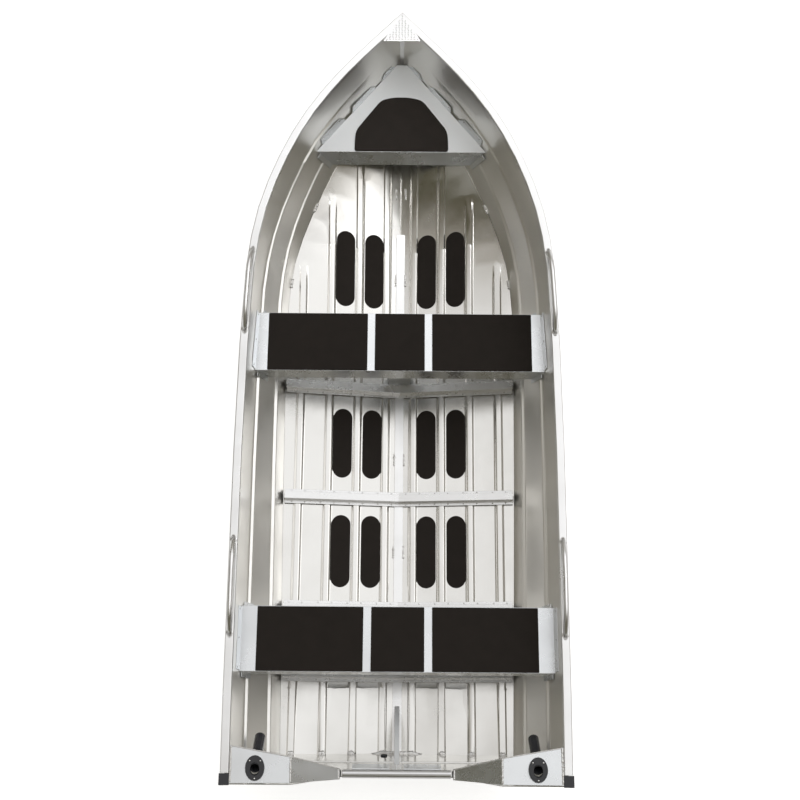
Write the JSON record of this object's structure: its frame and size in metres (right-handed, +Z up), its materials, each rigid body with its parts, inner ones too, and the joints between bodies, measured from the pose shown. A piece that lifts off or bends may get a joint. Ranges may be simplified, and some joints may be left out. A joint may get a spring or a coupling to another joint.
{
  "type": "aluminium dinghy",
  "caption": "Open V-hull aluminium dinghy with two bench seats, a bow seat, ribbed floor, grip pads, transom knees with rod holders and carry handles.",
  "frame": {"origin": "on the floor below the middle of the boat", "axes": "+Y towards the bow, +X to starboard, +Z up"},
  "size_m": [1.534, 3.7, 0.7908],
  "materials": {
    "hull_sheet": "mill finish",
    "extrusion": "bright anodised",
    "fitting_plate": "satin",
    "grip_pad": "fine ribbed foam",
    "cap_plastic": "moulded",
    "rod_plastic": "moulded",
    "rail_dark": "grey anodised"
  },
  "bodies": {
    "root": {"aft_bench": "fitting_plate", "aft_bench_pads": "grip_pad", "aft_bench_pillar": "fitting_plate", "aft_floor_pads": "grip_pad", "aft_handle_port": "extrusion", "aft_handle_starboard": "extrusion", "bow_cap": "extrusion", "bow_eye": "extrusion", "bow_seat": "fitting_plate", "bow_seat_pad": "grip_pad", "chine_rail_port": "extrusion", "chine_rail_starboard": "extrusion", "clamp_pads": "fitting_plate", "corner_cap_port": "cap_plastic", "corner_cap_starboard": "cap_plastic", "corner_knee_port": "fitting_plate", "corner_knee_starboard": "fitting_plate", "drain_bung": "cap_plastic", "floor_rib_1": "fitting_plate", "floor_rib_2": "fitting_plate", "floor_rib_3": "fitting_plate", "floor_rib_4": "fitting_plate", "front_bench": "fitting_plate", "front_bench_pads": "grip_pad", "front_bench_pillar": "fitting_plate", "front_floor_pads": "grip_pad", "front_handle_port": "extrusion", "front_handle_starboard": "extrusion", "gunwale_port": "extrusion", "gunwale_starboard": "extrusion", "hull_bottom_port": "hull_sheet", "hull_bottom_starboard": "hull_sheet", "hull_side_port": "hull_sheet", "hull_side_starboard": "hull_sheet", "keel_bar": "extrusion", "keel_strip": "extrusion", "middle_floor_pads": "grip_pad", "motor_pad": "fitting_plate", "rod_holder_port": "rod_plastic", "rod_holder_starboard": "rod_plastic", "stem_bar": "extrusion", "transom_board": "hull_sheet", "transom_cap": "rail_dark", "transom_knee": "hull_sheet", "transom_plate": "hull_sheet"}
  },
  "joints": []
}
